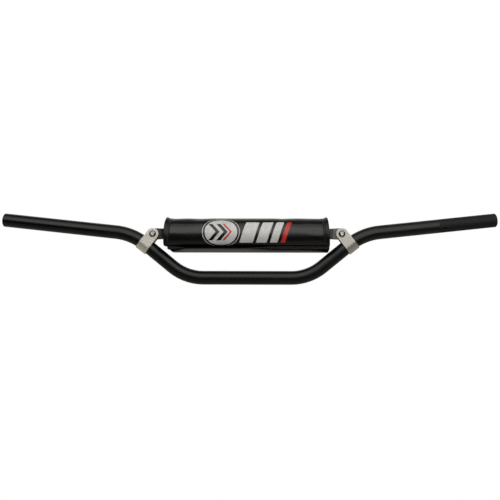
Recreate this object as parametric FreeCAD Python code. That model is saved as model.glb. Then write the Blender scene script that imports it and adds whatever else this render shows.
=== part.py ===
# Off-road motorcycle handlebar with a clamped crossbar and a wrapped crossbar pad.
#
# Frame, in millimetres: the origin is the middle of the stem clamp zone, on the centre tube's axis.
# +X points to the rider's left hand, +Y back towards the rider, +Z up. Left and right are the
# rider's. The plane of the risers leans back by the angle LEAN.
import FreeCAD
import Part
import math
import os

V = FreeCAD.Vector

# ---- handlebar tube -------------------------------------------------------------------------
BAR_R = 11.11          # outside radius of the 7/8 inch tube
BAR_WALL = 2.0
LOWER_KNEE_X = 98.8    # corners of the centreline before the bends are rounded
UPPER_KNEE = (184.6, 3.7, 70.4)
END_POINT = (404.5, 46.0, 92.0)
LOWER_BEND_R = 78.0    # centreline radius of the bends
UPPER_BEND_R = 90.0
END_CHAMFER = 0.9
PIN_HOLE_X = 317.5     # locating hole for the switch housing, on the rider's left grip
PIN_HOLE_R = 1.6
PIN_HOLE_BELOW = 20.0  # degrees below straight ahead

# ---- crossbar -------------------------------------------------------------------------------
CROSS_R = 7.94         # 5/8 inch tube
CROSS_WALL = 1.44
CROSS_HALF = 131.4
CLAMP_AT = 84.9        # along the riser's straight line, from the lower knee
RISER_TURN = 1.5       # degrees: the bend has just begun where the strap sits
STRAP_REACH = 21.2     # from the handlebar's axis to the strap bolt
SHOULDER_X = 131.5     # inner face of the end fitting
SHOULDER_R = 8.2
FITTING_R = 9.2        # rounded outer end of the fitting, about the bolt
FITTING_HALF = 11.15   # half its thickness between the strap's legs
SPIGOT_R = 6.45
SPIGOT_LENGTH = 25.0

# ---- strap clamps and their bolts -----------------------------------------------------------
STRAP_T = 2.2
STRAP_GAP = 11.2       # half the clear distance between the two legs
STRAP_HALF = 9.4       # half the strap's width, and the radius of its rounded ends
STRAP_EDGE = 0.35
STRAP_CLEAR = 0.07     # between the bar and the strap folded round it
HOLE_R = 3.2
SHANK_R = 2.98
HEAD_R = 5.4
HEAD_H = 3.3
SOCKET_AF = 4.0
SOCKET_DEPTH = 2.0
WASHER_R = 6.2
WASHER_T = 1.2
NUT_AF = 10.0
NUT_H = 5.0
COLLAR_R = 4.3         # nylon collar of the lock nut
COLLAR_H = 1.5

# ---- crossbar pad ---------------------------------------------------------------------------
PAD_DROP = 2.7         # the pad hangs this far below the crossbar's axis
PAD_HALF = 129.0
FOAM_HALF = 125.0
FOAM_NECK = 120.6      # beyond this the foam is thinner, to make room for the hems' inner leg
FOAM_BORE_R = 8.0
FOAM_SLIT = 1.2
COVER_T = 1.0
COVER_HALF = 128.0
TAIL_R = 24.4          # middle of the sheet where it is tucked under the flap
MAIN_R = 26.0          # middle of the sheet round the front, top and back
FLAP_R = 26.6          # middle of the sheet where the flap laps over the tail
TAIL_START = -115.0    # angles round the pad: 0 is the front, 90 the top, 180 the back
TAIL_END = -45.0
MAIN_START = -25.0
MAIN_END = 222.0
FLAP_START = 242.0
FLAP_END = 318.0
FLAP_SETBACK = 7.0     # the flap's end on the rider's right stops short of the pad's end
TAIL_SETBACK = 4.0     # and so does the tail under it
STRIP_T = 0.55         # the hook strip and the loop strip that hold the flap shut
STRIP_CLEAR = 0.03
STRIP_ARC = (-105.0, -55.0)
STRIP_SPAN = (-114.0, 122.0)
HEM_T = 1.0            # half the thickness of the folded hem
HEM_LENGTH = 8.0
HEM_ARC = (-22.0, 219.0)
THREAD_R = 0.25
THREAD_X = 122.6

os.makedirs("parts", exist_ok=True)

# the leaning plane of the risers: X along the bar, U up the plane, N out of its back
LEAN = math.atan2(UPPER_KNEE[1], UPPER_KNEE[2])
X = V(1, 0, 0)
U = V(0, math.sin(LEAN), math.cos(LEAN))
N = V(0, math.cos(LEAN), -math.sin(LEAN))


def mirrored(point):
    return V(-point[0], point[1], point[2])


def mid_path():
    """Corners of the handlebar's centreline, from the rider's right end to the left end."""
    left = [V(LOWER_KNEE_X, 0, 0), V(*UPPER_KNEE), V(*END_POINT)]
    return [mirrored(p) for p in reversed(left)] + left


def bent_rod(radius, extra=0.0):
    """A round rod along the centreline: straight runs joined by exact circular bends."""
    pts = mid_path()
    bends = [UPPER_BEND_R, LOWER_BEND_R, LOWER_BEND_R, UPPER_BEND_R]
    solids = []
    start = pts[0] - (pts[1] - pts[0]).normalize() * extra
    for i in range(1, len(pts)):
        here = (pts[i] - pts[i - 1]).normalize()
        if i == len(pts) - 1:
            stop = pts[i] + here * extra
            solids.append(Part.makeCylinder(radius, (stop - start).Length, start, here))
            break
        after = (pts[i + 1] - pts[i]).normalize()
        turn = math.acos(here.dot(after))
        cut = bends[i - 1] * math.tan(turn / 2)
        stop = pts[i] - here * cut
        solids.append(Part.makeCylinder(radius, (stop - start).Length, start, here))
        axis = here.cross(after).normalize()
        centre = stop + axis.cross(here).normalize() * bends[i - 1]
        disc = Part.Face(Part.Wire(Part.makeCircle(radius, stop, here)))
        solids.append(disc.revolve(centre, axis, math.degrees(turn)))
        start = pts[i] + after * cut
    return solids[0].multiFuse(solids[1:]).removeSplitter()


def rod(radius, start, direction, length):
    return Part.makeCylinder(radius, length, start, direction)


def outline(points, direction):
    """A flat outline through the points, swept along the direction."""
    return Part.Face(Part.makePolygon(points + [points[0]])).extrude(direction)


def handlebar_tube():
    bar = bent_rod(BAR_R)
    ends = [V(*END_POINT), mirrored(END_POINT)]
    rims = [
        e for e in bar.Edges
        if isinstance(e.Curve, Part.Circle) and min((e.Curve.Center - p).Length for p in ends) < 0.1
    ]
    bar = bar.makeChamfer(END_CHAMFER, rims)
    bar = bar.cut(bent_rod(BAR_R - BAR_WALL, 5.0))
    along = (V(*END_POINT) - V(*UPPER_KNEE)).normalize()
    at = V(*UPPER_KNEE) + along * ((PIN_HOLE_X - UPPER_KNEE[0]) / along.x)
    front = (V(0, -1, 0) - along * V(0, -1, 0).dot(along)).normalize()
    out = FreeCAD.Rotation(along, PIN_HOLE_BELOW).multVec(front)
    if out.z > 0:
        out = FreeCAD.Rotation(along, -PIN_HOLE_BELOW).multVec(front)
    return bar.cut(rod(PIN_HOLE_R, at + out * (BAR_R - BAR_WALL - 1), out, BAR_WALL + 2))


class Clamp:
    """Where one strap clamp sits: its axis point on the bar, its directions and its bolt."""

    def __init__(self, side):
        rise = UPPER_KNEE[2] / math.cos(LEAN)
        slope = math.atan2(rise, UPPER_KNEE[0] - LOWER_KNEE_X)
        reach = LOWER_KNEE_X + CLAMP_AT * math.cos(slope)
        self.side = side
        self.seat = X * (side * reach) + U * (CLAMP_AT * math.sin(slope))
        tilt = slope - math.radians(RISER_TURN)
        self.t = X * (side * math.cos(tilt)) + U * math.sin(tilt)
        self.e = X * (-side * math.sin(tilt)) + U * math.cos(tilt)
        self.bolt = self.seat + self.e * STRAP_REACH


def strap(c, rod_around):
    """A strip of steel folded round the handlebar, with two parallel legs up to the bolt."""
    outer = STRAP_GAP + STRAP_T
    low = c.seat - c.t * STRAP_HALF
    length = 2 * STRAP_HALF
    top = STRAP_REACH + STRAP_HALF + 1
    block = outline(
        [low - N * outer, low + N * outer, low + N * outer + c.e * top, low - N * outer + c.e * top],
        c.t * length,
    )
    body = rod(outer, low, c.t, length).fuse(block).removeSplitter()
    # the rounded outline of the legs, seen along the bolt
    foot = c.seat - c.e * (outer + 1) - N * (outer + 1)
    leg = outline(
        [
            foot - c.t * STRAP_HALF,
            foot + c.t * STRAP_HALF,
            foot + c.t * STRAP_HALF + c.e * (STRAP_REACH + outer + 1),
            foot - c.t * STRAP_HALF + c.e * (STRAP_REACH + outer + 1),
        ],
        N * (2 * outer + 2),
    )
    cap = rod(STRAP_HALF, c.bolt - N * (outer + 1), N, 2 * outer + 2)
    body = body.common(leg.fuse(cap)).removeSplitter()
    gap = outline(
        [
            low - N * STRAP_GAP - c.t,
            low + N * STRAP_GAP - c.t,
            low + N * STRAP_GAP - c.t + c.e * (top + 2),
            low - N * STRAP_GAP - c.t + c.e * (top + 2),
        ],
        c.t * (length + 2),
    )
    body = body.cut(gap).cut(rod_around)
    body = body.cut(rod(HOLE_R, c.bolt - N * 30, N, 60))
    solid = max(body.Solids, key=lambda s: s.Volume)
    rims = []
    for e in solid.Edges:
        mid = e.valueAt((e.FirstParameter + e.LastParameter) / 2)
        off = mid - c.seat
        n, up, along = off.dot(N), off.dot(c.e), off.dot(c.t)
        radial = math.hypot(n, min(up, 0.0))
        if abs(radial - outer) < 0.01 and (abs(abs(along) - STRAP_HALF) < 0.01 or up > STRAP_REACH):
            rims.append(e)
    return solid.makeFillet(STRAP_EDGE, rims)


def hexagon(centre, across_flats, direction, height):
    r = across_flats / math.sqrt(3)
    turned = FreeCAD.Rotation(direction, 60)
    arm = X * r
    pts = []
    for _ in range(6):
        pts.append(centre + arm)
        arm = turned.multVec(arm)
    return outline(pts, direction * height)


def strap_bolt(c):
    """Button-head socket screw, its head in front and its point behind."""
    seat = STRAP_GAP + STRAP_T
    tip = seat + WASHER_T + NUT_H + COLLAR_H + 0.8
    base = c.bolt - N * seat
    shank = rod(SHANK_R, base - N * 0.5, N, seat + tip + 0.5)
    rim = 0.7
    dome_r = (HEAD_R**2 + (HEAD_H - rim) ** 2) / (2 * (HEAD_H - rim))
    head = rod(HEAD_R, base - N * HEAD_H, N, HEAD_H)
    ball = Part.makeSphere(dome_r, base - N * (HEAD_H - dome_r))
    head = head.common(ball)
    body = head.fuse(shank).removeSplitter()
    socket = hexagon(base - N * (HEAD_H + 0.5), SOCKET_AF, N, SOCKET_DEPTH + 0.5)
    tip_edges = [
        e for e in body.Edges
        if isinstance(e.Curve, Part.Circle) and (e.Curve.Center - c.bolt - N * tip).Length < 0.1
    ]
    return body.makeChamfer(0.5, tip_edges).cut(socket)


def strap_washer(c):
    face = c.bolt + N * (STRAP_GAP + STRAP_T + 0.01)
    return rod(WASHER_R, face, N, WASHER_T).cut(rod(HOLE_R, face - N, N, WASHER_T + 2))


def strap_nut(c):
    face = c.bolt + N * (STRAP_GAP + STRAP_T + WASHER_T + 0.02)
    cone = Part.makeCone(NUT_AF / 2 + 0.25, NUT_AF / 2 + 4.0, 4.0, face, N)
    back = Part.makeCone(NUT_AF / 2 + 4.0, NUT_AF / 2 + 0.25, 4.0, face + N * (NUT_H - 4.0), N)
    body = hexagon(face, NUT_AF, N, NUT_H).common(cone.fuse(rod(20, face + N * 1.0, N, 9)))
    body = body.common(back.fuse(rod(20, face - N, N, NUT_H)))
    body = body.fuse(rod(COLLAR_R, face + N * (NUT_H - 0.1), N, COLLAR_H + 0.1)).removeSplitter()
    return body.cut(rod(SHANK_R + 0.02, face - N, N, 20))


def end_fitting(c):
    """Solid end of the crossbar: flat sides for the strap's legs, round nose, spigot in the tube."""
    s = c.side
    centre = U * c.bolt.dot(U)
    nose = abs(c.bolt.x)
    side_view = outline(
        [
            centre + X * (s * SHOULDER_X) - U * SHOULDER_R - N * 20,
            centre + X * (s * nose) - U * FITTING_R - N * 20,
            centre + X * (s * nose) + U * FITTING_R - N * 20,
            centre + X * (s * SHOULDER_X) + U * SHOULDER_R - N * 20,
        ],
        N * 40,
    ).fuse(rod(FITTING_R, c.bolt - N * 20, N, 40)).removeSplitter()
    top_view = outline(
        [
            centre + X * (s * SHOULDER_X) - N * SHOULDER_R - U * 20,
            centre + X * (s * (SHOULDER_X + 6)) - N * FITTING_HALF - U * 20,
            centre + X * (s * (nose + 20)) - N * FITTING_HALF - U * 20,
            centre + X * (s * (nose + 20)) + N * FITTING_HALF - U * 20,
            centre + X * (s * (SHOULDER_X + 6)) + N * FITTING_HALF - U * 20,
            centre + X * (s * SHOULDER_X) + N * SHOULDER_R - U * 20,
        ],
        U * 40,
    )
    body = side_view.common(top_view)
    body = body.makeFillet(1.2, body.Edges)
    spigot = rod(SPIGOT_R, centre + X * (s * (SHOULDER_X - SPIGOT_LENGTH)), X * s, SPIGOT_LENGTH + 2)
    return body.fuse(spigot).removeSplitter().cut(rod(HOLE_R, c.bolt - N * 20, N, 40))


def crossbar_tube(axis):
    start = axis - X * CROSS_HALF
    tube = rod(CROSS_R, start, X, 2 * CROSS_HALF)
    return tube.cut(rod(CROSS_R - CROSS_WALL, start - X, X, 2 * CROSS_HALF + 2))


def around(centre, radius, degrees):
    a = math.radians(degrees)
    return centre + V(0, -math.cos(a), math.sin(a)) * radius


def sheet_radius(degrees):
    """Distance of the cover sheet's middle from the pad's axis, all along its wrap."""
    def ramp(a, b, r0, r1):
        f = (degrees - a) / (b - a)
        f = f * f * (3 - 2 * f)
        return r0 + (r1 - r0) * f
    if degrees <= TAIL_END:
        return TAIL_R
    if degrees < MAIN_START:
        return ramp(TAIL_END, MAIN_START, TAIL_R, MAIN_R)
    if degrees <= MAIN_END:
        return MAIN_R
    if degrees < FLAP_START:
        return ramp(MAIN_END, FLAP_START, MAIN_R, FLAP_R)
    return FLAP_R


def steps(first, last, step=3.0):
    count = max(2, int(round((last - first) / step)) + 1)
    return [first + (last - first) * i / (count - 1) for i in range(count)]


def curve(points, closed=False):
    line = Part.BSplineCurve()
    line.interpolate(points, PeriodicFlag=closed)
    return line.toShape()


def band(centre, x0, x1, first, last, inside, outside):
    """Part of the wrapped sheet: a band from its middle radius + inside to + outside."""
    at = V(x0, centre.y, centre.z)
    angles = steps(first, last)
    inner = [around(at, sheet_radius(a) + inside, a) for a in angles]
    outer = [around(at, sheet_radius(a) + outside, a) for a in angles]
    edges = [
        curve(inner),
        Part.makeLine(inner[-1], outer[-1]),
        curve(list(reversed(outer))),
        Part.makeLine(outer[0], inner[0]),
    ]
    return Part.Face(Part.Wire(edges)).extrude(X * (x1 - x0))


def foam_radius(degrees):
    tail_back = TAIL_START - 20
    a = degrees
    while a > MAIN_END:
        a -= 360
    if a < TAIL_START - 3:
        f = max(0.0, (a - tail_back) / (TAIL_START - 3 - tail_back))
        f = f * f * (3 - 2 * f)
        return (MAIN_R + (TAIL_R - MAIN_R) * f) - COVER_T / 2 - 0.05
    return sheet_radius(a) - COVER_T / 2 - 0.05


def pad_foam(axis, centre):
    at = V(-FOAM_HALF, centre.y, centre.z)
    near = V(-FOAM_NECK, centre.y, centre.z)
    angles = steps(-138.0, 222.0)[:-1]
    thin = [around(at, foam_radius(a) - HEM_T + COVER_T / 2 - 0.05, a) for a in angles]
    full = [around(near, foam_radius(a), a) for a in angles]
    body = Part.Face(Part.Wire([curve(thin, True)])).extrude(X * (2 * FOAM_HALF))
    body = body.fuse(Part.Face(Part.Wire([curve(full, True)])).extrude(X * (2 * FOAM_NECK)))
    body = body.cut(rod(FOAM_BORE_R, V(-FOAM_HALF - 1, axis.y, axis.z), X, 2 * FOAM_HALF + 2))
    slit = Part.makeBox(
        2 * FOAM_HALF + 2, FOAM_SLIT, 40, V(-FOAM_HALF - 1, axis.y - FOAM_SLIT / 2, axis.z - 40)
    )
    return body.cut(slit)


def pad_cover(centre):
    half = COVER_T / 2
    body = band(centre, -COVER_HALF, COVER_HALF, TAIL_START, FLAP_END, -half, half)
    short = band(
        centre, -COVER_HALF - 1, -COVER_HALF + FLAP_SETBACK, FLAP_START - 4, FLAP_END + 2,
        -half - 0.2, half + 0.5,
    )
    tail = band(
        centre, -COVER_HALF - 1, -COVER_HALF + TAIL_SETBACK, TAIL_START - 2, TAIL_END + 2,
        -half - 0.4, half + 0.4,
    )
    return body.cut(short).cut(tail)


def pad_hem(centre, side):
    x_in = side * (PAD_HALF - HEM_LENGTH)
    hem = band(centre, x_in, side * PAD_HALF, HEM_ARC[0], HEM_ARC[1], -HEM_T, HEM_T)
    room = band(
        centre, x_in - side, side * (COVER_HALF + 0.03), HEM_ARC[0] - 3, HEM_ARC[1] + 3,
        -COVER_T / 2 - 0.06, COVER_T / 2 + 0.06,
    )
    return hem.cut(room)


def pad_thread(centre, side):
    """Row of sewing thread laid round the hem."""
    at = V(side * THREAD_X, centre.y, centre.z)
    radius = MAIN_R + HEM_T + THREAD_R + 0.02
    first, last = HEM_ARC[0] + 6, HEM_ARC[1] - 6
    along = V(0, math.sin(math.radians(first)), math.cos(math.radians(first)))
    disc = Part.Face(Part.Wire(Part.makeCircle(THREAD_R, around(at, radius, first), along)))
    return disc.revolve(at, X, first - last)


def strip(centre, inside):
    at = V(STRIP_SPAN[0], centre.y, centre.z)
    angles = steps(*STRIP_ARC)
    inner = [around(at, inside, a) for a in angles]
    outer = [around(at, inside + STRIP_T, a) for a in angles]
    face = Part.Face(Part.Wire([
        Part.Arc(inner[0], inner[len(inner) // 2], inner[-1]).toShape(),
        Part.makeLine(inner[-1], outer[-1]),
        Part.Arc(outer[-1], outer[len(outer) // 2], outer[0]).toShape(),
        Part.makeLine(outer[0], inner[0]),
    ]))
    return face.extrude(X * (STRIP_SPAN[1] - STRIP_SPAN[0]))


def save(name, shape):
    solids = shape.Solids
    if len(solids) == 1:
        shape = solids[0]
    print(name, "solids", len(solids), "valid", shape.isValid(), "cm3", round(shape.Volume / 1000, 2))
    shape.exportStep("parts/" + name + ".step")


clamps = {"left": Clamp(1), "right": Clamp(-1)}
cross_axis = U * clamps["left"].bolt.dot(U)
pad_axis = cross_axis - V(0, 0, PAD_DROP)
rod_around = bent_rod(BAR_R + STRAP_CLEAR)

save("handlebar_tube", handlebar_tube())
save("crossbar_tube", crossbar_tube(cross_axis))
for where, clamp in clamps.items():
    save("crossbar_end_" + where, end_fitting(clamp))
    save("clamp_strap_" + where, strap(clamp, rod_around))
    save("clamp_bolt_" + where, strap_bolt(clamp))
    save("clamp_washer_" + where, strap_washer(clamp))
    save("clamp_nut_" + where, strap_nut(clamp))
    save("pad_hem_" + where, pad_hem(pad_axis, clamp.side))
    save("pad_thread_" + where, pad_thread(pad_axis, clamp.side))
save("pad_foam", pad_foam(cross_axis, pad_axis))
save("pad_cover", pad_cover(pad_axis))
loop_inside = TAIL_R + COVER_T / 2 + STRIP_CLEAR
save("pad_loop_strip", strip(pad_axis, loop_inside))
save("pad_hook_strip", strip(pad_axis, loop_inside + STRIP_T + STRIP_CLEAR))
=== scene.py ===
"""Off-road handlebar: looks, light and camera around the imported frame.

The pad's pieces are worked out in millimetres and degrees, round the pad's own axis: angle 0 is
the front, 90 the top, 180 the back. Side 1 is the rider's left end (+X), side -1 the right one.
"""

import math
import random

import bmesh
import bpy
import numpy as np
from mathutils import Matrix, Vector


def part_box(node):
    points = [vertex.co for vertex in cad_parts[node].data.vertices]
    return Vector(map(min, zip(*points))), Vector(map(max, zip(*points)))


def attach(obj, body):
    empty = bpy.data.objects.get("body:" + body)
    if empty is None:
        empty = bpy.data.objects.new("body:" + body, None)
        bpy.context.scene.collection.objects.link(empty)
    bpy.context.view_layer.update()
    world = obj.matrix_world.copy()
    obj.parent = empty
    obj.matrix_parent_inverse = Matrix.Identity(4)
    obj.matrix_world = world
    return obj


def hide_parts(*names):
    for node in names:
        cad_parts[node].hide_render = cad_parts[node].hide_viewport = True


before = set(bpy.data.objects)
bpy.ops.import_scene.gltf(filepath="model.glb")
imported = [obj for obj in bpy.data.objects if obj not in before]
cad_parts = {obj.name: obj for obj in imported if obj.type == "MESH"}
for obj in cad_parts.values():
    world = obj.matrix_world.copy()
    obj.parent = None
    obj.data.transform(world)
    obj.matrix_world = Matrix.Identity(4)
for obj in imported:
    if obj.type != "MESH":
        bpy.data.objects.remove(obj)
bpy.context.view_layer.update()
MM = 0.001
rng = random.Random(7)

# ---------------------------------------------------------------------------------------------
# Pad dimensions
# ---------------------------------------------------------------------------------------------
cover_low, cover_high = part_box("pad_cover")
MAIN_OUT = (cover_high[1] - cover_low[1]) / 2 / MM
PAD_Y = (cover_high[1] + cover_low[1]) / 2 / MM
PAD_Z = cover_high[2] / MM - MAIN_OUT
cross_low, cross_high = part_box("crossbar_tube")
CROSS_Z = (cross_low[2] + cross_high[2]) / 2 / MM

COVER_T = 1.0
MAIN_R = MAIN_OUT - COVER_T / 2
TAIL_R = MAIN_R - 1.6
FLAP_R = MAIN_R + 0.6
LOFT = 0.45  # how far the stuffed cover stands out
TAIL_START, TAIL_END, MAIN_START = -115.0, -45.0, -25.0
MAIN_END, FLAP_START, FLAP_END = 222.0, 242.0, 322.5
HEM_GONE = 230.0  # past the hems' upper ends the sheet's ends are the flap's own
FREE_START = 291.0  # from here on the flap's edge is free of the tape

RIGHT_END, RIGHT_BULGE, RIGHT_DROP = 129.6, 3.2, 0.6
LEFT_END, LEFT_BULGE = 126.6, 5.2
TAIL_X = {-1: -122.0, 1: 127.5}
RIM_HIGH, RIM_REACH = 2.1, 2.1
ROW_STEP, COLUMNS = 4.5, 108

HEM_ARC = {-1: (-38.0, 219.0), 1: (-44.0, 219.0)}
# cut through a folded hem, as (distance out past the sheet's end, height above the sheet)
HEM_PROFILE = [
    (-9.2, 0.0), (-9.1, 0.85), (-8.5, 1.3), (-7.7, 1.2), (-6.9, 0.5), (-6.1, 0.48), (-5.4, 1.2),
    (-4.2, 1.5), (-2.4, 1.55), (-0.8, 1.45), (0.4, 1.12), (0.95, 0.5), (1.05, 0.0), (0.9, -0.55),
    (0.3, -0.9), (-2.0, -1.0), (-6.0, -1.0), (-9.1, -0.7),
]
HEM_TUCK = 1.0  # the sheet stops this far inside the hem's fold
HEM_PITCH, HEM_STITCH, HEM_CORD_R, HEM_ROW_IN = 3.4, 2.5, 0.27, 6.5
FLAP_PITCH, FLAP_STITCH, FLAP_CORD_R, FLAP_ROW_IN = 3.5, 2.6, 0.25, 9.0

FOAM_HALF, FOAM_BORE, FOAM_SLIT, FOAM_CLEAR = 124.6, 8.02, 1.3, 0.75
TAPE_ARC, TAPE_T, TAPE_CLEAR = (-105.0, -55.0), 0.5, 0.05


def smooth(f):
    f = min(1.0, max(0.0, f))
    return f * f * (3 - 2 * f)


def wrap_radius(a):
    if a <= TAIL_END:
        return TAIL_R
    if a < MAIN_START:
        return TAIL_R + (MAIN_R - TAIL_R) * smooth((a - TAIL_END) / (MAIN_START - TAIL_END))
    if a <= MAIN_END:
        return MAIN_R
    if a < FLAP_START:
        return MAIN_R + (FLAP_R - MAIN_R) * smooth((a - MAIN_END) / (FLAP_START - MAIN_END))
    return FLAP_R


def sheet_radius(a):
    """Middle of the cover sheet along its wrap: tucked tail, main part, flap lapping over."""
    return wrap_radius(a) + LOFT * smooth((a - TAIL_END) / 20)


def end_x(side, a):
    """Where the pad's end lies at angle a. The soft ends bulge forward of square."""
    if side < 0:
        front = max(0.0, math.cos(math.radians(a))) ** 1.3
        return -(RIGHT_END + RIGHT_BULGE * front + RIGHT_DROP * smooth(-a / 30))
    return LEFT_END + LEFT_BULGE * (0.5 + 0.5 * math.cos(math.radians(a + 30)))


def sheet_end(side, a):
    """End of the cover sheet itself: inside the hem's fold, and set back under and on the flap."""
    if a > HEM_GONE:
        if side > 0:
            return 129.7 + 1.6 * smooth((a - 285) / 30)
        return -(127.2 - 4.6 * smooth((308.0 - a) / 4) - 3.8 * smooth((304.0 - a) / 30))
    if a < TAIL_END + 2:
        return TAIL_X[side]
    return end_x(side, a) - side * HEM_TUCK


def flap_lift(x, a):
    """How far the flap stands off: its free edge runs out straight on the rider's right."""
    free = smooth((x + 118) / 26) * (1 - smooth((x + 12) / 60))
    straight = FLAP_R * (1 / math.cos(math.radians(max(0.0, a - FREE_START))) - 1)
    ripple = 0.3 + 0.3 * math.sin(x / 13.0) * math.sin(x / 37.0 + 1)
    return free * straight + smooth((a - 296) / 22) * ripple * (1 - 0.6 * free)


def flare(end_gap, a):
    """The rim stands proud of the pad at the top and the front, where the stuffing ends."""
    top = 0.12 + 0.88 * smooth((math.sin(math.radians(a)) - 0.1) / 0.9)
    return RIM_HIGH * top * math.exp(-((end_gap / RIM_REACH) ** 2))


def place(x, r, a):
    t = math.radians(a)
    return Vector((x, PAD_Y - r * math.cos(t), PAD_Z + r * math.sin(t))) * MM


def directions(a):
    """At angle a, straight out from the pad's axis and round it."""
    t = math.radians(a)
    return Vector((0, -math.cos(t), math.sin(t))), Vector((0, math.sin(t), math.cos(t)))


# ---------------------------------------------------------------------------------------------
# Mesh helpers
# ---------------------------------------------------------------------------------------------
def make_object(name, verts, faces):
    mesh = bpy.data.meshes.new(name)
    mesh.from_pydata([tuple(v) for v in verts], [], faces)
    mesh.validate()
    bm = bmesh.new()
    bm.from_mesh(mesh)
    bmesh.ops.recalc_face_normals(bm, faces=bm.faces)
    bm.to_mesh(mesh)
    bm.free()
    for p in mesh.polygons:
        p.use_smooth = True
    obj = bpy.data.objects.new(name, mesh)
    bpy.context.scene.collection.objects.link(obj)
    return obj


def grid_faces(rows, cols, wrap_cols=False, base=0):
    faces = []
    for i in range(rows - 1):
        for j in range(cols if wrap_cols else cols - 1):
            here, beside = i * cols + j, i * cols + (j + 1) % cols
            faces.append((base + here, base + beside, base + beside + cols, base + here + cols))
    return faces


def end_caps(rows, cols):
    """The two end faces of a tube of rings."""
    return [tuple(range(cols)), tuple((rows - 1) * cols + i for i in reversed(range(cols)))]


def span(first, last, step):
    count = max(2, int(round(abs(last - first) / step)) + 1)
    return [first + (last - first) * i / (count - 1) for i in range(count)]


def subdivide(obj):
    """Adds one subdivision and applies every modifier on the object."""
    fine = obj.modifiers.new("fine", "SUBSURF")
    fine.levels = fine.render_levels = 1
    dg = bpy.context.evaluated_depsgraph_get()
    mesh = bpy.data.meshes.new_from_object(obj.evaluated_get(dg))
    obj.modifiers.clear()
    coarse = obj.data
    obj.data = mesh
    bpy.data.meshes.remove(coarse)
    for p in obj.data.polygons:
        p.use_smooth = True


# ---------------------------------------------------------------------------------------------
# The cover: a wrapped sheet, settled as cloth between its hems
# ---------------------------------------------------------------------------------------------
ANGLES = span(TAIL_START, FLAP_END, ROW_STEP)
CLOTH_FRAMES, CLOTH_REACH, CLOTH_LIFT, EVENING_PASSES = 20, 1.5, 0.7, 10


def cover_grid():
    verts = []
    for a in ANGLES:
        right, left = sheet_end(-1, a), sheet_end(1, a)
        for j in range(COLUMNS):
            x = right + (left - right) * j / (COLUMNS - 1)
            r = sheet_radius(a)
            if MAIN_START < a < HEM_GONE:
                r += flare(x - right, a) + flare(left - x, a)
            if a > FLAP_START:
                r += flap_lift(x, a)
            verts.append(place(x, r, a))
    return verts, grid_faces(len(ANGLES), COLUMNS)


def settle(obj):
    """Runs the main part as slightly roomy cloth under a little pressure from the foam inside."""
    held = obj.vertex_groups.new(name="held")
    for i in range(len(obj.data.vertices)):
        row, column = divmod(i, COLUMNS)
        main = MAIN_START - 2 < ANGLES[row] < MAIN_END + 2
        if min(column, COLUMNS - 1 - column) < 4 or not main:
            held.add([i], 1.0, "REPLACE")
    cloth = obj.modifiers.new("settle", "CLOTH")
    s = cloth.settings
    s.quality = 7
    s.mass = 0.25
    s.tension_stiffness = 30
    s.compression_stiffness = 30
    s.shear_stiffness = 12
    s.bending_stiffness = 2.0
    s.vertex_group_mass = "held"
    s.shrink_min = -0.01
    s.use_pressure = True
    s.uniform_pressure_force = 2.0
    s.effector_weights.gravity = 0
    cloth.collision_settings.use_collision = False
    cloth.collision_settings.use_self_collision = False
    scene = bpy.context.scene
    for f in range(1, CLOTH_FRAMES + 1):
        scene.frame_set(f)
    start = np.array([v.co[:] for v in obj.data.vertices])
    evaluated = obj.evaluated_get(bpy.context.evaluated_depsgraph_get())
    end = np.array([v.co[:] for v in evaluated.to_mesh().vertices])
    evaluated.to_mesh_clear()
    obj.modifiers.clear()
    scene.frame_set(1)

    move = end - start
    far = np.linalg.norm(move, axis=1)
    move *= np.minimum(1.0, CLOTH_REACH * MM / np.maximum(far, 1e-9))[:, None]
    # the foam behind the sheet keeps it from going in; it may stand off a little
    axis = np.array([PAD_Y, PAD_Z]) * MM
    before = np.linalg.norm(start[:, 1:] - axis, axis=1)
    after = np.linalg.norm((start + move)[:, 1:] - axis, axis=1)
    lift = np.clip(after - before, 0.0, CLOTH_LIFT * MM).reshape(len(ANGLES), COLUMNS)
    for _ in range(EVENING_PASSES):
        around = lift[:-2, 1:-1] + lift[2:, 1:-1] + lift[1:-1, :-2] + lift[1:-1, 2:]
        lift[1:-1, 1:-1] += 0.2 * (around - 4 * lift[1:-1, 1:-1])
    start[:, 1:] = axis + (start[:, 1:] - axis) * (1 + lift.reshape(-1) / before)[:, None]
    for v, p in zip(obj.data.vertices, start):
        v.co = p


def ruffle(obj):
    """Soft waves of loose vinyl all over, and short puckers running in from the hems."""
    waves = [
        (rng.uniform(0.02, 0.045), rng.uniform(0.5, 2.0), rng.uniform(0, 6.28), rng.uniform(0, 6.28))
        for _ in range(7)
    ]
    for v in obj.data.vertices:
        x, y, z = v.co.x / MM, v.co.y / MM - PAD_Y, v.co.z / MM - PAD_Z
        a = math.atan2(z, -y)
        if -2.6 <= a <= -0.4:  # the tail and the flap lie on each other
            continue
        end_gap = min(x - end_x(-1, math.degrees(a)), end_x(1, math.degrees(a)) - x)
        near_hem = math.exp(-(((end_gap - 12) / 9.0) ** 2))
        pucker = math.sin(17 * a + 2.1 * math.sin(3 * a)) * (0.5 + 0.5 * math.sin(5 * a + x / 90))
        push = 0.05 * near_hem * pucker
        for along, around, p, q in waves:
            push += 0.03 * math.sin(along * x + p) * math.sin(around * a + q)
        v.co += Vector((0, y, z)).normalized() * push * MM


def make_cover():
    obj = make_object("pad_cover_wrap", *cover_grid())
    settle(obj)
    ruffle(obj)
    thick = obj.modifiers.new("thick", "SOLIDIFY")
    thick.thickness = COVER_T * MM
    thick.offset = 0
    thick.use_even_offset = True
    subdivide(obj)
    return obj


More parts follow.
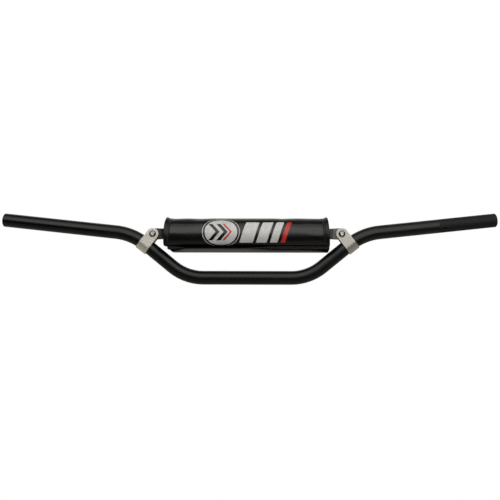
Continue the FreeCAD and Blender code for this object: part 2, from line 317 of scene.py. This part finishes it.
# ---------------------------------------------------------------------------------------------
# Hems, stitches, foam and tape
# ---------------------------------------------------------------------------------------------
def make_hem(side, name):
    verts = []
    angles = span(*HEM_ARC[side], 1.5)
    for a in angles:
        pucker = 0.1 * math.sin(2 * math.pi * math.radians(a) * MAIN_R / HEM_PITCH)
        for dx, dr in HEM_PROFILE:
            between_stitches = pucker if dr > 0.5 and dx < -4 else 0.0
            r = sheet_radius(a) + flare(max(0.0, -dx), a) + dr + between_stitches
            verts.append(place(sheet_end(side, a) + side * dx, r, a))
    rows, cols = len(angles), len(HEM_PROFILE)
    obj = make_object(name, verts, grid_faces(rows, cols, wrap_cols=True) + end_caps(rows, cols))
    subdivide(obj)
    return obj


def stitch(centre, along, out, length, radius):
    """One stitch: a round-ended cord whose ends dip into the cloth."""
    verts = []
    across = along.cross(out).normalized()
    rings, sides = 9, 8
    for i in range(rings):
        f = 2 * i / (rings - 1) - 1
        r = radius * math.sqrt(max(0.04, 1 - f ** 6))
        dip = -0.9 * radius * f ** 4
        for k in range(sides):
            t = 2 * math.pi * k / sides
            ring = out * (dip + r * math.cos(t)) + across * (r * math.sin(t))
            verts.append(centre + along * (f * length / 2) + ring)
    return verts, grid_faces(rings, sides, wrap_cols=True) + end_caps(rings, sides)


def make_stitches(name, places):
    verts, faces = [], []
    for where in places:
        new_verts, new_faces = stitch(*where)
        faces += [tuple(i + len(verts) for i in face) for face in new_faces]
        verts += new_verts
    return make_object(name, verts, faces)


def hem_stitches(side):
    places = []
    a = HEM_ARC[side][0] + 4
    while a < HEM_ARC[side][1] - 3:
        out, along = directions(a)
        r = sheet_radius(a) + flare(HEM_ROW_IN, a) + 0.6
        centre = place(sheet_end(side, a) - side * HEM_ROW_IN, r, a)
        places.append((centre, along, out, HEM_STITCH * MM, HEM_CORD_R * MM))
        a += math.degrees(HEM_PITCH / MAIN_R)
    return places


def flap_stitches():
    places = []
    a = FLAP_END - FLAP_ROW_IN
    out = directions(a)[0]
    x = sheet_end(-1, a) + 5
    while x < sheet_end(1, a) - 4:
        centre = place(x, sheet_radius(a) + flap_lift(x, a) + COVER_T / 2 + 0.06, a)
        places.append((centre, Vector((1, 0, 0)), out, FLAP_STITCH * MM, FLAP_CORD_R * MM))
        x += FLAP_PITCH
    return places


def make_foam():
    """The foam core: slit below, bored for the crossbar, its end faces gently crowned."""
    angles = span(-90 + FOAM_SLIT, 270 - FOAM_SLIT, 5.0)
    lengthwise = span(-FOAM_HALF, FOAM_HALF, 6.0)
    # the cut along the axis, as (x, share of the way from the bore to the outside)
    crown = [(0.9, 0.8), (1.3, 0.5), (0.8, 0.2)]
    loop = [(x, 1.0) for x in lengthwise]
    loop += [(FOAM_HALF + dx, f) for dx, f in crown]
    loop += [(x, 0.0) for x in reversed(lengthwise)]
    loop += [(-FOAM_HALF - dx, f) for dx, f in reversed(crown)]
    to_crossbar = Vector((0, 0, CROSS_Z - PAD_Z)) * MM
    verts = []
    for a in angles:
        wrapped = a if a < MAIN_END else a - 360
        if wrapped < TAIL_START - 3:
            f = smooth((wrapped - TAIL_START + 20) / 17.0)
            r_out = MAIN_R + (TAIL_R - MAIN_R) * f
        else:
            r_out = sheet_radius(wrapped)
        r_out -= COVER_T / 2 + FOAM_CLEAR
        for x, f in loop:
            neck = 0.8 * smooth((abs(x) - 117) / 5)
            inner = place(x, FOAM_BORE, a) + to_crossbar
            verts.append(inner.lerp(place(x, r_out - neck, a), f))
    rows, cols = len(angles), len(loop)
    faces = grid_faces(rows, cols, wrap_cols=True) + end_caps(rows, cols)
    return make_object("pad_foam_core", verts, faces)


def make_tape(name, node, radius_at):
    """Hook or loop tape: a thin curved band with rounded edges and an uneven pile."""
    low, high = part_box(node)
    x0, x1 = low[0] / MM, high[0] / MM
    first, last = TAPE_ARC
    columns, rows = span(x0, x1, 2.0), span(first, last, 2.5)
    verts = []
    for face_side in (1, -1):
        for a in rows:
            row_rim = math.radians(min(a - first, last - a)) * MAIN_R
            for x in columns:
                rim = min(x - x0, x1 - x, row_rim)
                tuft = rng.uniform(-0.04, 0.04) if rim > 1 else 0.0
                half = TAPE_T / 2 * min(1.0, 0.45 + 0.55 * rim) - abs(tuft)
                verts.append(place(x, radius_at(x, a) + face_side * half, a))
    n, m = len(rows), len(columns)
    faces = grid_faces(n, m) + [tuple(reversed(f)) for f in grid_faces(n, m, base=n * m)]
    edge = [i * m for i in range(n)] + [(n - 1) * m + j for j in range(1, m)]
    edge += [i * m + m - 1 for i in reversed(range(n - 1))] + list(reversed(range(1, m - 1)))
    for i, here in enumerate(edge):
        there = edge[(i + 1) % len(edge)]
        faces.append((here, there, there + n * m, here + n * m))
    return make_object(name, verts, faces)


# ---------------------------------------------------------------------------------------------
# Material helpers
# ---------------------------------------------------------------------------------------------
class Graph:
    """A material's node tree with short names for the nodes used here."""

    def __init__(self, name):
        self.mat = bpy.data.materials.new(name)
        self.mat.use_nodes = True
        self.tree = self.mat.node_tree
        self.tree.nodes.clear()
        out = self.node("OutputMaterial")
        self.bsdf = self.node("BsdfPrincipled")
        self.link(self.bsdf.outputs[0], out.inputs[0])
        self.position = self.node("TexCoord").outputs["Object"]

    def node(self, kind):
        return self.tree.nodes.new("ShaderNode" + kind)

    def link(self, a, b):
        self.tree.links.new(a, b)

    def put(self, value, socket):
        if isinstance(value, bpy.types.NodeSocket):
            self.link(value, socket)
        else:
            socket.default_value = value

    def math(self, op, a, b=0.0, c=0.0, clamp=False):
        n = self.node("Math")
        n.operation = op
        n.use_clamp = clamp
        for v, s in zip((a, b, c), n.inputs):
            self.put(v, s)
        return n.outputs[0]

    def xyz(self):
        n = self.node("SeparateXYZ")
        self.link(self.position, n.inputs[0])
        return n.outputs

    def noise(self, scale, detail=3.0, rough=0.5):
        n = self.node("TexNoise")
        n.inputs["Scale"].default_value = scale
        n.inputs["Detail"].default_value = detail
        n.inputs["Roughness"].default_value = rough
        self.link(self.position, n.inputs["Vector"])
        return n.outputs[0]

    def cells(self, scale, source=None, feature="F1"):
        n = self.node("TexVoronoi")
        n.feature = feature
        n.inputs["Scale"].default_value = scale
        self.link(source or self.position, n.inputs["Vector"])
        return n.outputs["Distance"]

    def mix(self, fac, a, b):
        n = self.node("Mix")
        n.data_type = "RGBA"
        self.put(fac, n.inputs[0])
        for v, s in ((a, n.inputs[6]), (b, n.inputs[7])):
            self.put((*v, 1) if isinstance(v, tuple) else v, s)
        return n.outputs[2]

    def range(self, value, a, b, c, d):
        """Takes a..b to c..d, clamped."""
        n = self.node("MapRange")
        self.link(value, n.inputs[0])
        for v, s in zip((a, b, c, d), n.inputs[1:5]):
            s.default_value = v
        return n.outputs[0]

    def mottled(self, noise, c=0.0, d=1.0):
        """A noise's middle band, spread over c..d."""
        return self.range(noise, 0.3, 0.7, c, d)

    def bump(self, height, strength, distance, normal=None):
        n = self.node("Bump")
        n.inputs["Strength"].default_value = strength
        n.inputs["Distance"].default_value = distance
        self.link(height, n.inputs["Height"])
        if normal:
            self.link(normal, n.inputs["Normal"])
        return n.outputs[0]

    def finish(self, **values):
        """Sets or links the shader's own sockets, and gives the material."""
        for k, v in values.items():
            self.put(v, self.bsdf.inputs[k.replace("_", " ")])
        return self.mat


def give(obj, material):
    obj.data.materials.clear()
    obj.data.materials.append(material)


# ---------------------------------------------------------------------------------------------
# Metal
# ---------------------------------------------------------------------------------------------
THROTTLE_START, GRIP_START = 0.235, 0.3095  # where the end runs' own surfaces begin, in metres
KNURL = 5200.0  # radians per metre
SOCKET_R, SOCKET_EDGE = 2.3 * MM, 2.6 * MM


def bar_material():
    """Satin black coating, smoother on the throttle side, roughened where the left grip goes."""
    g = Graph("bar_satin_black")
    x, _, z = g.xyz()
    throttle = g.range(x, 1.5 * MM - THROTTLE_START, -1.5 * MM - THROTTLE_START, 0, 1)
    rough_grip = g.range(x, GRIP_START - MM, GRIP_START + MM, 0, 1)
    mottling = g.noise(60, 3, 0.6)
    lean = g.math("MULTIPLY", z, 0.9)
    one_way = g.math("SINE", g.math("MULTIPLY", g.math("ADD", x, lean), KNURL))
    other_way = g.math("SINE", g.math("MULTIPLY", g.math("SUBTRACT", x, lean), KNURL))
    knurl = g.math("MULTIPLY", g.math("MULTIPLY", one_way, other_way), rough_grip)
    rough = g.math("ADD", g.mottled(mottling, 0.3, 0.36), g.math("MULTIPLY", rough_grip, 0.3))
    rough = g.math("SUBTRACT", rough, g.math("MULTIPLY", throttle, 0.1))
    tint = g.mix(g.mottled(mottling), (0.0022, 0.0022, 0.0025), (0.0036, 0.0036, 0.0040))
    orange_peel = g.bump(g.noise(900, 2, 0.5), 0.08, 0.00004)
    normal = g.bump(knurl, 0.35, 0.00008, orange_peel)
    return g.finish(Base_Color=tint, Roughness=rough, Normal=normal, Specular_IOR_Level=0.33)


def coated(name, base, low, high, grain=420.0, strength=0.2):
    """Cast or tumbled metal under a thin dark coat."""
    g = Graph(name)
    n = g.noise(grain, 4, 0.6)
    light = tuple(c * 1.35 for c in base)
    tint = g.mix(g.mottled(g.noise(90, 3, 0.6)), base, light)
    normal = g.bump(n, strength, 0.00012)
    return g.finish(Base_Color=tint, Roughness=g.mottled(n, low, high), Normal=normal)


def strap_material(name, low, high, rough):
    """Bead-blasted stainless strip with small tumbling marks."""
    g = Graph(name)
    grain = g.noise(2600, 2, 0.6)
    marks = g.noise(240, 4, 0.65)
    blotch = g.noise(70, 3, 0.6)
    tint = g.mix(g.mottled(marks, 0.25, 0.75), low, high)
    uneven = g.range(blotch, 0.35, 0.65, -0.01, 0.02)
    rough = g.math("ADD", g.mottled(marks, rough + 0.02, rough + 0.05), uneven)
    normal = g.bump(grain, 0.05, 0.00003, g.bump(marks, 0.01, 0.00004))
    return g.finish(Base_Color=tint, Roughness=rough, Normal=normal, Metallic=0.9)


def zinc_material(name="zinc_steel", low=(0.50, 0.50, 0.53), high=(0.66, 0.66, 0.69), socket_at=None):
    """Zinc-plated fastener steel; a screw head's dome can be darker than its socket, which gets a
    painted highlight.
    """
    g = Graph(name)
    n = g.noise(1500, 3, 0.6)
    tint = g.mix(g.mottled(g.noise(500, 3)), low, high)
    rough = g.mottled(n, 0.26, 0.38)
    if socket_at:
        x, _, z = g.xyz()
        dx, dz = g.math("SUBTRACT", x, socket_at[0]), g.math("SUBTRACT", z, socket_at[1])
        r = g.math("SQRT", g.math("ADD", g.math("MULTIPLY", dx, dx), g.math("MULTIPLY", dz, dz)))
        # painted highlight: the recessed hex socket is given a near-white base and a rougher finish
        # where it would lie in shade
        socket_painted_light = g.range(r, SOCKET_R, SOCKET_EDGE, 1, 0)
        tint = g.mix(socket_painted_light, tint, (0.86, 0.85, 0.84))
        rough = g.math("ADD", rough, g.math("MULTIPLY", socket_painted_light, 0.3))
    return g.finish(Base_Color=tint, Roughness=rough, Normal=g.bump(n, 0.12, 0.00003), Metallic=1.0)


# ---------------------------------------------------------------------------------------------
# Vinyl and its print
# ---------------------------------------------------------------------------------------------
GRAIN_CELLS = 1 / 0.0011  # embossed cells per metre
ROUNDEL_U, ROUNDEL_V, ROUNDEL_R = -41.0, 6.8, 22.3
RING_INNER, RING_OUTER = 24.9, 25.8
SQUEEZE = 0.86  # the roundel is a little wider than high
PRINT_LOW, PRINT_HIGH = -10.5, 24.0
PALE_BARS, RED_BAR = [(-6.5, 15.0), (20.0, 37.0), (42.0, 54.0)], (59.0, 66.0)
RED_INK = (0.62, 0.035, 0.018)


def leather_grain(g):
    """Embossed vinyl grain: cells of uneven size with soft valleys, and fine pores."""
    wobble, small, warped = g.node("TexNoise"), g.node("VectorMath"), g.node("VectorMath")
    wobble.inputs["Scale"].default_value = 500
    small.operation, warped.operation = "SCALE", "ADD"
    small.inputs[3].default_value = 0.0007
    g.link(g.position, wobble.inputs["Vector"])
    g.link(wobble.outputs["Color"], small.inputs[0])
    g.link(g.position, warped.inputs[0])
    g.link(small.outputs[0], warped.inputs[1])
    cell = g.cells(GRAIN_CELLS, source=warped.outputs[0], feature="DISTANCE_TO_EDGE")
    return g.range(cell, 0.0, 0.22, 0, 1), g.noise(4200, 2, 0.5)


def vinyl(name, base=(0.0042, 0.0042, 0.0045), rough=(0.17, 0.24), gloss=0.43, printed=None):
    g = Graph(name)
    valley, pores = leather_grain(g)
    # painted shade: the base is a quarter darker in the grain's valleys
    tint = g.mix(valley, tuple(c * 0.75 for c in base), base)
    roughness = g.math("ADD", g.mottled(g.noise(55, 3, 0.6), *rough), g.range(valley, 0, 1, 0.06, 0.0))
    if printed:
        tint, roughness = printed(g, tint, roughness, valley)
    normal = g.bump(pores, 0.08, 0.00003, g.bump(valley, 0.14, 0.00006))
    return g.finish(Base_Color=tint, Roughness=roughness, Normal=normal, Specular_IOR_Level=gloss)


def graphic(g, tint, roughness, valley):
    """Generic racing print: an arrow roundel and slanted bars, in pale ink with red accents."""

    def add(a, b):
        return g.math("ADD", a, b)

    def less(a, b):
        return g.math("SUBTRACT", a, b)

    def both(a, b):
        return g.math("MULTIPLY", a, b)

    def either(a, b):
        return g.math("MAXIMUM", a, b)

    def size_of(a):
        return g.math("ABSOLUTE", a)

    def length_of(a, b):
        return g.math("SQRT", add(both(a, a), both(b, b)))

    def without(a, b):
        return both(a, less(1.0, b))

    def inside(d, soft=0.22):
        """1 where the distance d, in millimetres, is below 0."""
        return g.math("SUBTRACT", 0.5, g.math("DIVIDE", d, 2 * soft), clamp=True)

    # u runs along the pad and v up round its front, both in millimetres
    px, py, pz = g.xyz()
    u = g.math("DIVIDE", px, MM)
    up, forward = less(g.math("DIVIDE", pz, MM), PAD_Z), less(PAD_Y, g.math("DIVIDE", py, MM))
    angle = g.math("ARCTAN2", up, forward)
    v = both(angle, MAIN_OUT)
    front = both(g.math("LESS_THAN", angle, 1.5), g.math("GREATER_THAN", angle, -0.635))

    def slab(first, last, slant=0.32, corner=1.4):
        """A leaning bar with softened corners."""
        half_u, half_v = (last - first) / 2 - corner, (PRINT_HIGH - PRINT_LOW) / 2 - corner
        v_off = less(v, (PRINT_HIGH + PRINT_LOW) / 2)
        u_off = less(u, add((first + last) / 2, both(v_off, slant)))
        du, dv = less(size_of(u_off), half_u), less(size_of(v_off), half_v)
        outer = length_of(either(du, 0.0), either(dv, 0.0))
        inner = g.math("MINIMUM", either(du, dv), 0.0)
        return inside(less(add(outer, inner), corner))

    ru, rv = both(less(u, ROUNDEL_U), SQUEEZE), less(v, ROUNDEL_V)
    radius = length_of(ru, rv)
    disc = inside(less(radius, ROUNDEL_R))
    ring = without(inside(less(radius, RING_OUTER)), inside(less(radius, RING_INNER)))

    def chevron(at, width):
        """An arrowhead pointing to +X: a band of |v| + u."""
        band = less(size_of(add(both(size_of(rv), 0.75), less(ru, at))), width / 2)
        return both(inside(band), inside(less(size_of(rv), 13.5)))

    arrows = either(chevron(-4.5, 5.6), chevron(6.5, 5.6))
    red_arrow = chevron(13.6, 3.2)
    pale = either(without(disc, either(arrows, red_arrow)), ring)
    for bar in PALE_BARS:
        pale = either(pale, slab(*bar))
    red = either(both(red_arrow, disc), slab(*RED_BAR))
    pale, red = both(pale, front), both(red, front)
    # screen-printed ink sits on the grain and misses its deepest pits
    speck = g.range(g.noise(1500, 3, 0.7), 0.36, 0.5, 0.45, 1)
    hold = both(speck, g.range(valley, 0, 1, 0.72, 1))
    pale_ink = g.mix(g.mottled(g.noise(300, 3, 0.6)), (0.66, 0.66, 0.65), (0.78, 0.78, 0.77))
    tint = g.mix(both(pale, hold), tint, pale_ink)
    tint = g.mix(both(red, hold), tint, RED_INK)
    return tint, add(roughness, both(either(pale, red), 0.06))


# ---------------------------------------------------------------------------------------------
# Foam, thread and tape
# ---------------------------------------------------------------------------------------------
THREAD_TWIST = 16000.0  # radians per metre


def foam_material():
    g = Graph("closed_cell_foam")
    normal = g.bump(g.range(g.cells(1100), 0, 0.5, 0, 1), 0.7, 0.0003)
    tint = g.mix(g.mottled(g.noise(300, 3, 0.6)), (0.016, 0.016, 0.017), (0.032, 0.032, 0.034))
    return g.finish(Base_Color=tint, Roughness=0.92, Normal=normal)


def thread_material():
    g = Graph("twisted_thread")
    x, y, z = g.xyz()
    slope = g.math("ADD", g.math("ADD", x, y), g.math("MULTIPLY", z, 1.3))
    twist = g.math("SINE", g.math("MULTIPLY", slope, THREAD_TWIST))
    # painted shade and light: darker in the grooves of the twist and lighter on its crests, following
    # the bump
    tint = g.mix(g.range(twist, -1, 1, 0, 1), (0.022, 0.022, 0.024), (0.06, 0.06, 0.063))
    normal = g.bump(twist, 0.5, 0.00006)
    return g.finish(Base_Color=tint, Roughness=0.7, Normal=normal, Sheen_Weight=0.3)


def tape_material():
    g = Graph("hook_and_loop_pile")
    tufts = g.cells(1400)
    tint = g.mix(tufts, (0.03, 0.03, 0.03), (0.012, 0.012, 0.013))
    return g.finish(Base_Color=tint, Roughness=0.95, Normal=g.bump(tufts, 0.9, 0.0004), Sheen_Weight=0.4)


# ---------------------------------------------------------------------------------------------
# The CAD pieces that stay, with their materials
# ---------------------------------------------------------------------------------------------
# painted light: the right strap's steel is given a far lighter, warmer tone than the left strap's, for
# the light falling on it
left_steel, left_bright = (0.57, 0.55, 0.50), (0.63, 0.61, 0.56)
right_steel_painted_light, right_speck_painted_light = (0.88, 0.845, 0.765), (0.95, 0.915, 0.835)
plain = {
    "handlebar_tube": bar_material(),
    "crossbar_tube": coated("crossbar_satin_black", (0.006, 0.006, 0.0063), 0.34, 0.46, strength=0.1),
    # painted light and shade: the two end fittings are one part, the left one given a lighter base as
    # painted light and the right one a darker base as painted shade
    "crossbar_end_right": coated("end_fitting_right_painted_shade", (0.034, 0.034, 0.036), 0.32, 0.42, 700, 0.12),
    "crossbar_end_left": coated("end_fitting_left_painted_light", (0.112, 0.112, 0.114), 0.42, 0.52, 700, 0.12),
    "clamp_strap_right": strap_material("strap_stainless_right_painted_light", right_steel_painted_light, right_speck_painted_light, 0.40),
    "clamp_strap_left": strap_material("strap_stainless_left", left_steel, left_bright, 0.33),
}
zinc = zinc_material()
for node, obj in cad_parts.items():
    if node in plain:
        give(obj, plain[node])
    elif node.startswith("clamp_bolt"):
        # each bolt head gets a darker base with a painted highlight in its socket
        low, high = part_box(node)
        middle = ((low[0] + high[0]) / 2, (low[2] + high[2]) / 2)
        give(obj, zinc_material(node + "_steel", (0.17, 0.17, 0.175), (0.25, 0.25, 0.255), middle))
    elif node.startswith("clamp_"):
        give(obj, zinc)

# ---------------------------------------------------------------------------------------------
# The pad's pieces
# ---------------------------------------------------------------------------------------------
binding = vinyl("pad_binding_vinyl", base=(0.0042, 0.0042, 0.0044), rough=(0.26, 0.34), gloss=0.28)
thread = thread_material()
pile = tape_material()


def fit(piece, material, node=None):
    """Gives a pad piece its material, hides the CAD node it stands for, and hangs it on the pad's body.
    """
    give(piece, material)
    if node:
        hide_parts(node)
    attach(piece, "pad")


cover = make_cover()
fit(cover, vinyl("pad_vinyl_printed", printed=graphic), "pad_cover")

foam = make_foam()
fit(foam, foam_material(), "pad_foam")

for side, where in ((1, "left"), (-1, "right")):
    fit(make_hem(side, "pad_hem_fold_" + where), binding, "pad_hem_" + where)
    row = make_stitches("pad_hem_stitches_" + where, hem_stitches(side))
    fit(row, thread, "pad_thread_" + where)
fit(make_stitches("pad_flap_stitches", flap_stitches()), thread)

off_sheet = COVER_T / 2 + TAPE_CLEAR + TAPE_T / 2
tapes = {
    "loop": lambda x, a: sheet_radius(a) + off_sheet,
    "hook": lambda x, a: sheet_radius(a + 360) + flap_lift(x, a + 360) - off_sheet,
}
for kind, radius_at in tapes.items():
    strip = "pad_" + kind + "_strip"
    fit(make_tape("pad_" + kind + "_tape", strip, radius_at), pile, strip)


# ---------------------------------------------------------------------------------------------
# Floor, light and camera
# ---------------------------------------------------------------------------------------------
FLOOR_Z, FLOOR_HALF = -0.30, 9.0
STUDIO_TINT = (1.0, 0.94, 0.85, 1)


def mapped(tree, value, a, b, c, d):
    n = tree.nodes.new("ShaderNodeMapRange")
    n.interpolation_type = "SMOOTHSTEP"
    tree.links.new(value, n.inputs[0])
    for v, socket in zip((a, b, c, d), n.inputs[1:5]):
        socket.default_value = v
    return n.outputs[0]


def y_of(tree, source):
    """The Y part of a vector socket."""
    n = tree.nodes.new("ShaderNodeSeparateXYZ")
    tree.links.new(source, n.inputs[0])
    return n.outputs["Y"]


def mixed(tree, fac, first, second):
    n = tree.nodes.new("ShaderNodeMixShader")
    for value, socket in zip((fac, first, second), n.inputs):
        tree.links.new(value, socket)
    return n.outputs[0]


def seen_and_reflected(tree, kind, reflected_level):
    """Plain white to the eye; the part's own gloss sees a dim studio instead."""
    path = tree.nodes.new("ShaderNodeLightPath")
    dim, white = tree.nodes.new(kind), tree.nodes.new(kind)
    white.inputs["Color"].default_value = (1, 1, 1, 1)
    dim.inputs["Color"].default_value = STUDIO_TINT
    tree.links.new(reflected_level, dim.inputs["Strength"])
    return mixed(tree, path.outputs["Is Camera Ray"], dim.outputs[0], white.outputs[0])


def make_floor():
    h = FLOOR_HALF
    corners = [(-h, -h, FLOOR_Z), (h, -h, FLOOR_Z), (h, h, FLOOR_Z), (-h, h, FLOOR_Z)]
    floor = make_object("floor", corners, [(0, 1, 2, 3)])
    material = bpy.data.materials.new("pale_floor")
    material.use_nodes = True
    tree = material.node_tree
    tree.nodes.clear()
    out = tree.nodes.new("ShaderNodeOutputMaterial")
    where = tree.nodes.new("ShaderNodeNewGeometry")
    y = y_of(tree, where.outputs["Position"])
    level = tree.nodes.new("ShaderNodeMath")
    tree.links.new(mapped(tree, y, -0.62, -0.46, 0.02, 0.27), level.inputs[0])
    tree.links.new(mapped(tree, y, -0.12, 0.05, 0.0, 0.12), level.inputs[1])
    seen = seen_and_reflected(tree, "ShaderNodeEmission", level.outputs[0])
    # from underneath the floor is clear, so the part can be looked at from there too
    clear = tree.nodes.new("ShaderNodeBsdfTransparent")
    surface = mixed(tree, where.outputs["Backfacing"], seen, clear.outputs[0])
    tree.links.new(surface, out.inputs[0])
    floor.data.materials.append(material)


def make_world():
    world = bpy.data.worlds.new("studio")
    bpy.context.scene.world = world
    world.use_nodes = True
    tree = world.node_tree
    tree.nodes.clear()
    out = tree.nodes.new("ShaderNodeOutputWorld")
    where = tree.nodes.new("ShaderNodeTexCoord")
    level = mapped(tree, y_of(tree, where.outputs["Generated"]), 0.0, 0.8, 0.035, 0.3)
    tree.links.new(seen_and_reflected(tree, "ShaderNodeBackground", level), out.inputs[0])


def softbox(name, at, target, width, height, radiance, colour):
    """A diffused panel: its power follows from how bright its face is."""
    light = bpy.data.lights.new(name, "AREA")
    light.shape = "RECTANGLE"
    light.size = width
    light.size_y = height
    light.energy = radiance * math.pi * width * height
    light.color = colour
    obj = bpy.data.objects.new(name, light)
    obj.location = at
    obj.rotation_euler = (Vector(target) - Vector(at)).to_track_quat("-Z", "Y").to_euler()
    obj.visible_camera = False
    bpy.context.scene.collection.objects.link(obj)


def make_camera():
    azimuth, elevation, distance = math.radians(1.9), math.radians(2.58), 1.65
    aim = Vector((0, 0, 0.0444))
    data = bpy.data.cameras.new("camera")
    data.sensor_width = 36.0
    data.lens = 73.937
    data.shift_x = 0.0056
    data.shift_y = 0.00052
    data.clip_start = 0.05
    data.clip_end = 60
    camera = bpy.data.objects.new("camera", data)
    level = math.cos(elevation)
    back = Vector((math.sin(azimuth) * level, -math.cos(azimuth) * level, math.sin(elevation)))
    camera.location = aim + back * distance
    camera.rotation_euler = back.to_track_quat("Z", "Y").to_euler()
    bpy.context.scene.collection.objects.link(camera)
    bpy.context.scene.camera = camera


make_floor()
make_world()
softbox("key_front", (0.0, -0.95, 0.87), (0, 0, 0.05), 2.8, 1.02, 2.05, (1.0, 0.985, 0.96))
softbox("key_above", (0.0, -0.32, 1.22), (0, 0, 0.05), 2.8, 0.46, 1.15, (1.0, 0.985, 0.96))
softbox("back_above", (0.0, 1.5, 1.15), (0, 0, 0.05), 2.6, 0.9, 0.62, (1.0, 0.96, 0.9))
softbox("fill_left_hand", (0.70, -1.44, 0.37), (0.25, 0, 0.07), 1.22, 0.5, 1.6, (1.0, 0.98, 0.95))
make_camera()
bpy.context.scene.view_settings.view_transform = "Standard"
